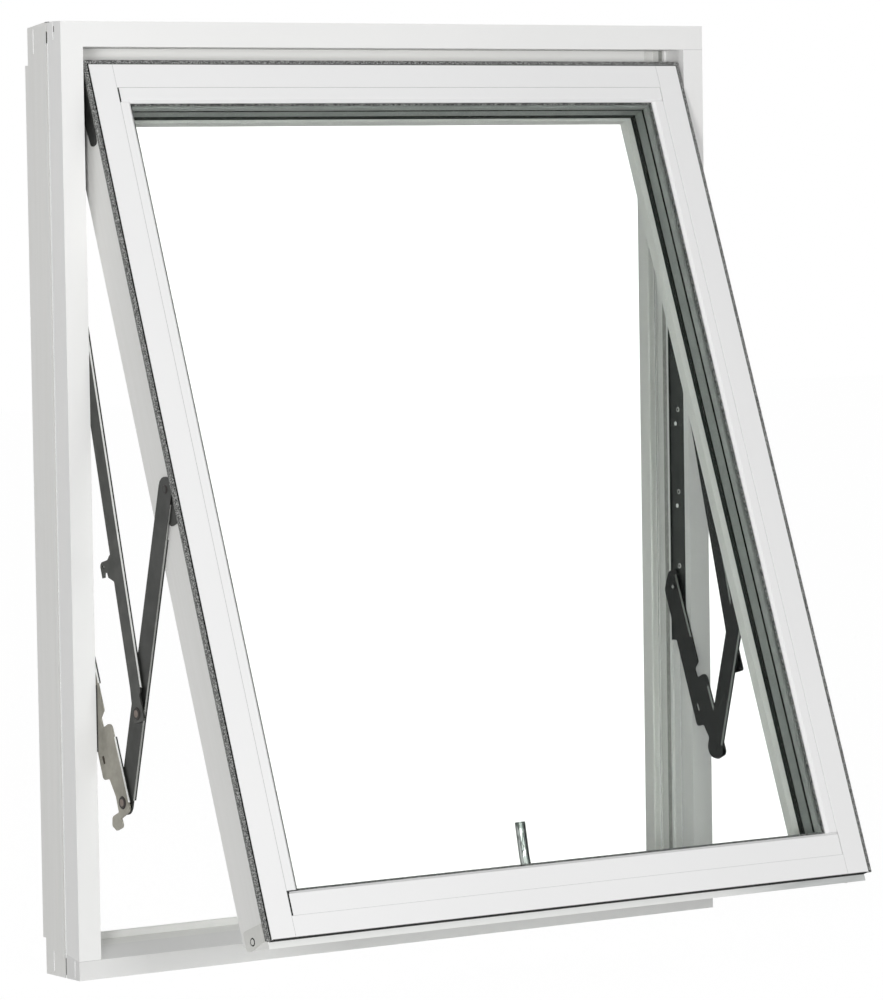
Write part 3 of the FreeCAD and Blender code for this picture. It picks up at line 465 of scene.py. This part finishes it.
# name, distance from the middle, points, 1 for outwards or -1, (radius, height, radius of dimple),
# finish of the head, finish of the dimple, slot
HEADS = (
    ("rivets_outer", ARM_OUTER, (KNEE, GUIDE_PIVOT), 1, (0.0082, 0.0012, 0.0046),
     rivet_ring, rivet_core, "arm_steel"),
    ("rivet_sash", MAIN_OUTER, (SASH_PIVOT,), 1, (0.0054, 0.0008, 0.0036),
     rivet_ring, arm_steel, "arm_steel"),
    ("rivets_inner", MAIN_INNER, (KNEE, GUIDE_PIVOT), -1, (0.0050, 0.0008, 0.0024),
     pressed_dark, shaded_inner_steel, "arm_steel"),
    ("rivets_jamb", ARM_INNER, (LOWER_PIVOT, UPPER_PIVOT), -1, (0.0048, 0.0011, 0.0022),
     shaded_inner_steel, screw_steel, "arm_steel"),
    ("channel_rivets", TRACK_FACE, CHANNEL_RIVETS, -1, (0.0034, 0.0007, 0.0018),
     screw_steel, pressed_dark, "track_steel"),
    ("channel_holes", TRACK_FACE, CHANNEL_HOLES, -1, (0.0030, 0.0001, 0.0026),
     screw_steel, sash_powder, "track_steel"),
    # The bracket screw's black ring is painted shade in its hole.
    ("bracket_screw", BRACKET_FACE, (BRACKET_SCREW,), 1, (0.0052, 0.0003, 0.0036),
     tape_and_shade_black, bracket_coat, "bracket_paint"))
for side_sign, side in ((-1, "left"), (1, "right")):
    for head_name, *head in HEADS:
        heads(side + "_" + head_name, side_sign, *head)

# Dark edges of the sash. A black line of painted shadow runs between the sash's aluminium and its
# timber, all round the edge, and a strip with brush lines closes the foot, painted greyer towards
# the right as painted shade. The panes are taped black round their edge, which shows as black lines
# between the spacers.
SASH_PLACE = Matrix.Translation(SASH_TOP) @ Matrix.Rotation(-SASH_LEAN, 4, "X")
SASH_HIGH = 1.1057            # the sash, from its top edge down
SHADOW_LINE_REACH = 0.0011           # how far the painted shadow line stands out from the sash
SHADOW_LINE_FRONT, SHADOW_LINE_BACK = 0.0009, 0.0020          # behind the sash's outer face
FOOT_HALF = 0.4475            # half the painted shadow line's length under the sash
FOOT_FRONT, FOOT_TURN = -0.00003, 0.0010
FOOT_UP, FOOT_DOWN = 0.0005, 0.0007
DRIP_FRONT, DRIP_BACK, DRIP_DOWN = 0.0098, 0.00995, 0.0088
DRIP_LINES = 260.0            # brush lines in a metre
DRIP_SHADE_GREY = "B4B7B6"
DRIP_SHADE_PALE = "DADCDB"
DRIP_WHITE = "ECEDEB"         # on the left, free of the painted shade
GLASS_HALF = 0.40825
GLASS_HIGH = -0.0403
GLASS_LOW = -1.0591
TAPE = 0.0010
TAPE_GAP = 0.0002
UNIT_FRONT, UNIT_BACK = 0.0082, 0.0448


def frame_round(half, high, low, width, front, back):
    """Four boxes that follow a rectangle, outside it by the width."""
    return [((-half - width, front, low - width), (-half, back, high + width)),
            ((half, front, low - width), (half + width, back, high + width)),
            ((-half, front, high), (half, back, high + width)),
            ((-half, front, low - width), (half, back, low))]


boxes("sash_edge_painted_shadow", [
    ((-HALF_SASH - SHADOW_LINE_REACH, SHADOW_LINE_FRONT, -SASH_HIGH), (-HALF_SASH, SHADOW_LINE_BACK, SHADOW_LINE_REACH)),
    ((HALF_SASH, SHADOW_LINE_FRONT, -SASH_HIGH), (HALF_SASH + SHADOW_LINE_REACH, SHADOW_LINE_BACK, SHADOW_LINE_REACH)),
    ((-HALF_SASH, SHADOW_LINE_FRONT, 0), (HALF_SASH, SHADOW_LINE_BACK, SHADOW_LINE_REACH)),
    ((-FOOT_HALF, FOOT_FRONT, -SASH_HIGH), (FOOT_HALF, FOOT_TURN, -SASH_HIGH + FOOT_UP)),
    ((-FOOT_HALF, FOOT_TURN, -SASH_HIGH - FOOT_DOWN), (FOOT_HALF, DRIP_FRONT, -SASH_HIGH))],
    tape_and_shade_black, SASH_PLACE)
# The drip strip turns from white on the left to grey with brush lines on the right: painted shade.
material, tree, shader, place = start_finish("drip_strip_painted_shade")
across = add(tree, "ShaderNodeSeparateXYZ", links={"Vector": place}).outputs["X"]
shade_fade = add(tree, "ShaderNodeMapRange", {"From Min": 0.22, "From Max": 0.34}, {"Value": across})
drawn = add(tree, "ShaderNodeMapping", {"Scale": (0.12, 1, 1)}, {"Vector": place})
lines = add(tree, "ShaderNodeTexNoise", {"Scale": DRIP_LINES, "Detail": 3.0},
            {"Vector": drawn.outputs[0]})
brushed_shade = add(tree, "ShaderNodeMix", {"data_type": "RGBA", 6: linear(DRIP_SHADE_GREY),
                                      7: linear(DRIP_SHADE_PALE)}, {0: lines.outputs["Fac"]})
colour = add(tree, "ShaderNodeMix", {"data_type": "RGBA", 6: linear(DRIP_WHITE)},
             {0: shade_fade.outputs[0], 7: brushed_shade.outputs[2]})
shader.inputs["Roughness"].default_value = 0.45
tree.links.new(colour.outputs[2], shader.inputs["Base Color"])
boxes("sash_drip_strip", [((-HALF_SASH, DRIP_FRONT, -SASH_HIGH - DRIP_DOWN),
                           (HALF_SASH, DRIP_BACK, -SASH_HIGH))],
      material, SASH_PLACE)
boxes("glass_edge_tape",
      frame_round(GLASS_HALF + TAPE_GAP, GLASS_HIGH + TAPE_GAP, GLASS_LOW - TAPE_GAP, TAPE,
                  UNIT_FRONT, UNIT_BACK), tape_and_shade_black, SASH_PLACE)

# Hairlines. The profiles are cut square and butted, so they meet in fine grey joints, and the beads
# stand in a fine line of painted shadow. Bright strips on the reveal's aluminium corners and the
# jambs' outer edges are painted highlights, black strips paint the shade in the gaps on the jambs'
# sides, and black boxes paint the shade in the open gaps that the top and bottom beads leave at the
# left.
HAIR = 0.00035
HAIR_FRONT, HAIR_BACK = -0.00004, 0.0001        # on the sash's face
RING_FRONT, RING_BACK = 0.0007, 0.0009          # in the step where the beads start
RING_IN, RING_OUT = 0.0010, 0.0004              # that ring, from the sides and from top and foot
FACE_INNER = 0.41545          # inner edge of the sash's face, from the middle
FACE_HIGH, FACE_LOW = -0.0302, 0.0259           # its inner edges, from the sash's top and foot
JAMB_MIDDLE = 0.4745
JOINT_LEFT, JOINT_RIGHT = 0.01555, 0.01545      # from the middle of the jamb's face
JOINT_FRONT, JOINT_BACK = -0.06004, -0.0599
REVEAL = 0.445
CLAD_REVEAL = 0.4588
REVEAL_PROUD, REVEAL_DEPTH, REVEAL_WIDTH = 0.00004, 0.0005, 0.0012
# distance from the middle, front, foot and top of a bright line in the reveal
REVEAL_LINES = ((REVEAL, -0.0062, 0.0480, 1.127), (CLAD_REVEAL, -0.0352, 0.0345, 0.40))
SIDE = 0.49001                # a hair outside the sides of the jambs
SIDE_CORE = 0.4895            # a little inside them
GAP_PROUD = 0.00001           # the gaps lie over the lines
# front, foot and top of the bright lines on the left jamb's side, in millimetres
SIDE_LINES = ((-28.6, 0.0, 1155.0), (6.6, 1142.0, 1172.0), (-42.4, 1158.0, 1179.0),
              (1.6, 6.0, 30.0), (-50.2, 3.0, 24.0))
SIDE_LINE_WIDTH = 2.0
# front, width, foot and top of the dark gaps there, in millimetres
SIDE_GAPS = ((-27.0, 2.4, 1154.0, 1168.0), (-44.2, 1.6, 1167.0, 1174.0),
             (-33.0, 11.0, 1179.2, 1180.0), (-28.4, 1.6, 4.0, 25.0))
# corners of the gaps left of the top bead, left of the bottom bead and over the end of that one
BEAD_GAPS = (((-FACE_INNER, 0.0013, -0.0490), (-FACE_INNER + 0.0030, 0.0055, -0.0306)),
             ((-FACE_INNER, 0.0013, -1.0790), (-FACE_INNER + 0.0042, 0.0055, -1.0505)),
             ((-FACE_INNER, 0.0004, -1.0503), (-0.3985, 0.0012, -1.0492)))
hairline = powder_coat("profile_joint_shadow", "A2A3A2")
# Bright strips of painted highlight on the reveal's corners and on the jambs' sides.
edge_highlight_paint = plated_steel("aluminium_painted_highlight", "E4E5E4", "F0F1F0", metal=0.9, rough=0.25)


def reveal_line(side_sign, x, front, low, high):
    """A bright line up the reveal on one side, from a hair in front of the face at X."""
    left, right = sorted((side_sign * (x - REVEAL_PROUD), side_sign * (x + REVEAL_DEPTH)))
    return (left, front, low), (right, front + REVEAL_WIDTH, high)


hairs = [((x - HAIR / 2, HAIR_FRONT, low), (x + HAIR / 2, HAIR_BACK, high))
         for x in (-FACE_INNER, FACE_INNER)
         for low, high in ((FACE_HIGH, 0), (-SASH_HIGH, FACE_LOW - SASH_HIGH))]
hairs += frame_round(FACE_INNER - RING_IN, FACE_HIGH - RING_OUT, FACE_LOW + RING_OUT - SASH_HIGH,
                     HAIR, RING_FRONT, RING_BACK)
boxes("sash_joint_lines", hairs, hairline, SASH_PLACE)
boxes("frame_joint_lines", [((side_sign * JAMB_MIDDLE - JOINT_LEFT, JOINT_FRONT, z - HAIR / 2),
                             (side_sign * JAMB_MIDDLE + JOINT_RIGHT, JOINT_BACK, z + HAIR / 2))
                            for side_sign, z in ((1, 1.1488), (-1, 0.0238), (1, 0.0238))],
      hairline)
boxes("reveal_edge_lines", [reveal_line(side_sign, *line) for side_sign in (-1, 1)
                            for line in REVEAL_LINES], edge_highlight_paint)
boxes("frame_side_edges", [((-SIDE, y * MM, low * MM),
                            (-SIDE_CORE, (y + SIDE_LINE_WIDTH) * MM, high * MM))
                           for y, low, high in SIDE_LINES], edge_highlight_paint)
# Black strips on the jamb's side and in the beads' end gaps: painted shade in the gaps.
boxes("frame_side_gaps", [((-SIDE - GAP_PROUD, y * MM, low * MM),
                           (-SIDE_CORE, (y + width) * MM, high * MM))
                          for y, width, low, high in SIDE_GAPS], tape_and_shade_black)
boxes("bead_end_gaps", BEAD_GAPS, tape_and_shade_black, SASH_PLACE)

# Handle inside the bottom rail: zinc die cast, polished and chrome plated, a bent round lever on a
# flat rose. The room's reflection is painted into the chrome's colour by the way each face turns: a
# painted dark reflection up each side of the lever, a greyer top and grey folds in the bright
# middle.
CHROME_BRIGHT = "D9DDDC"
CHROME_FOLD_REFLECTION = "7C8280"        # painted grey reflections in the bright middle
CHROME_LEFT_REFLECTION = "1E2221"
CHROME_RIGHT_REFLECTION = "2F3433"
CHROME_TOP_REFLECTION = "6A706E"
DARK_REFLECTION_FACING = (-0.828, 0.56, 0.0)                 # the way the painted dark reflection on the left faces
FOLD_STRETCH = 0.4
material, tree, shader, place = start_finish("chrome_painted_reflections")
normal = add(tree, "ShaderNodeNewGeometry").outputs["Normal"]
facing = add(tree, "ShaderNodeVectorMath", {"operation": "DOT_PRODUCT", 1: DARK_REFLECTION_FACING}, {0: normal})
rims = add(tree, "ShaderNodeMapRange", {"From Min": 0.7, "From Max": 0.95},
           {"Value": facing.outputs["Value"]})
drawn = add(tree, "ShaderNodeMapping", {"Scale": (1, 1, FOLD_STRETCH)}, {"Vector": place})
waves = add(tree, "ShaderNodeTexNoise", {"Scale": 190.0, "Detail": 1.0},
            {"Vector": drawn.outputs[0]})
folds = add(tree, "ShaderNodeMapRange", {"From Min": 0.47, "From Max": 0.6},
            {"Value": waves.outputs["Fac"]})
facings = add(tree, "ShaderNodeSeparateXYZ", links={"Vector": normal})
far_side = add(tree, "ShaderNodeMapRange", {"From Min": -0.3, "From Max": 0.1},
               {"Value": facings.outputs["X"]})
top = add(tree, "ShaderNodeMapRange", {"From Min": 0.6, "From Max": 0.8},
          {"Value": facings.outputs["Z"]})
tone = add(tree, "ShaderNodeMix", {"data_type": "RGBA", 6: linear(CHROME_BRIGHT),
                                   7: linear(CHROME_FOLD_REFLECTION)}, {0: folds.outputs[0]})
# Painted reflections: darker where the surface turns to the left, to the right or up.
for share, code in ((rims, CHROME_LEFT_REFLECTION), (far_side, CHROME_RIGHT_REFLECTION), (top, CHROME_TOP_REFLECTION)):
    tone = add(tree, "ShaderNodeMix", {"data_type": "RGBA", 7: linear(code)},
               {0: share.outputs[0], 6: tone.outputs[2]})
shader.inputs["Metallic"].default_value = 1.0
shader.inputs["Roughness"].default_value = 0.12
tree.links.new(tone.outputs[2], shader.inputs["Base Color"])
paint(material, "handle_base", "handle_lever")

# Floor and room: a plain white sheet, lit evenly, that shows as white behind the object but keeps
# its soft shadow.
FLOOR_SIZE = 30.0
SHADOW_KEPT = 0.08            # how much of the real light on the floor shows
FLOOR_GLOW = 1.05             # evens out the floor with the background
THROUGH_GLASS = 1.9           # the backdrop's brightness where panes dim it
ROOM_LIGHT = 0.35
WHITE = (1, 1, 1, 1)


def backdrop(tree):
    """The backdrop's strength, and whether a ray sees it straight, mirrored or through glass."""
    path = add(tree, "ShaderNodeLightPath")
    straight = add(tree, "ShaderNodeMath", {"operation": "LESS_THAN", 1: 0.5},
                   {0: path.outputs["Diffuse Depth"]})
    glazed = add(tree, "ShaderNodeMath", {"operation": "MULTIPLY"},
                 {0: path.outputs["Is Transmission Ray"], 1: straight.outputs[0]})
    strength = add(tree, "ShaderNodeMath",
                   {"operation": "MULTIPLY_ADD", 1: THROUGH_GLASS - 1, 2: 1.0},
                   {0: glazed.outputs[0]})
    mirrored = add(tree, "ShaderNodeMath", {"operation": "MAXIMUM"},
                   {0: path.outputs["Is Glossy Ray"], 1: glazed.outputs[0]})
    seen = add(tree, "ShaderNodeMath", {"operation": "MAXIMUM"},
               {0: path.outputs["Is Camera Ray"], 1: mirrored.outputs[0]})
    return strength.outputs[0], seen.outputs[0]


floor_mesh = bpy.data.meshes.new("floor")
half = FLOOR_SIZE / 2
floor_mesh.from_pydata([(-half, -half, 0), (half, -half, 0), (half, half, 0), (-half, half, 0)], [],
                       [(0, 1, 2, 3)])
floor = bpy.data.objects.new("floor", floor_mesh)
bpy.context.scene.collection.objects.link(floor)
material, tree, shader, place = start_finish("white_floor")
shader.inputs["Base Color"].default_value = linear("E8E8E8")
shader.inputs["Roughness"].default_value = 0.9
strength, seen = backdrop(tree)
bright = add(tree, "ShaderNodeMath", {"operation": "MULTIPLY", 1: FLOOR_GLOW}, {0: strength})
glow = add(tree, "ShaderNodeEmission", {"Color": WHITE}, {"Strength": bright.outputs[0]})
share = add(tree, "ShaderNodeMath", {"operation": "MULTIPLY", 1: 1 - SHADOW_KEPT}, {0: seen})
both = add(tree, "ShaderNodeMixShader", links={0: share.outputs[0], 1: shader.outputs["BSDF"],
                                               2: glow.outputs[0]})
tree.links.new(both.outputs[0], tree.nodes["Material Output"].inputs["Surface"])
floor_mesh.materials.append(material)

scene = bpy.context.scene
scene.view_settings.view_transform = "Standard"
world = bpy.data.worlds.new("white_room")
scene.world = world
world.use_nodes = True
tree = world.node_tree
tree.nodes.clear()
strength, seen = backdrop(tree)
room = add(tree, "ShaderNodeBackground", {"Color": WHITE, "Strength": ROOM_LIGHT})
white = add(tree, "ShaderNodeBackground", {"Color": WHITE}, {"Strength": strength})
both = add(tree, "ShaderNodeMixShader", links={0: seen, 1: room.outputs[0], 2: white.outputs[0]})
add(tree, "ShaderNodeOutputWorld", links={"Surface": both.outputs[0]})

# Soft lamps: a key lamp from the left, at the height of the window, and a weaker one in front.
LAMPS = {"key": ((-4.2, -4.3, 0.9), 1.2, 138.0), "front": ((-0.9, -5.4, 1.05), 1.1, 82.0)}
MIDDLE = Vector((0, 0, 0.6))
for name, (at, size, power) in LAMPS.items():
    lamp = bpy.data.lights.new(name, "AREA")
    lamp.size = size
    lamp.energy = power
    holder = bpy.data.objects.new(name, lamp)
    scene.collection.objects.link(holder)
    holder.location = at
    aim = MIDDLE - Vector(at)
    holder.rotation_euler = aim.to_track_quat("-Z", "Y").to_euler()
    holder.visible_glossy = False

# Camera at the photograph's view: from the left and a little above the middle.
YAW, PITCH, ROLL = (math.radians(a) for a in (34.086, 3.460, -0.911))
LEVEL = math.radians(90)
CAMERA_AT = (-3.4937, -5.3115, 0.9523)
camera_data = bpy.data.cameras.new("view")
camera_data.lens = 177.47
camera_data.sensor_width = 36.0
camera = bpy.data.objects.new("view", camera_data)
scene.collection.objects.link(camera)
turn = (Matrix.Rotation(-YAW, 4, "Z") @ Matrix.Rotation(-PITCH, 4, "X")
        @ Matrix.Rotation(-ROLL, 4, "Y") @ Matrix.Rotation(LEVEL, 4, "X"))
camera.matrix_world = Matrix.Translation(CAMERA_AT) @ turn
scene.camera = camera
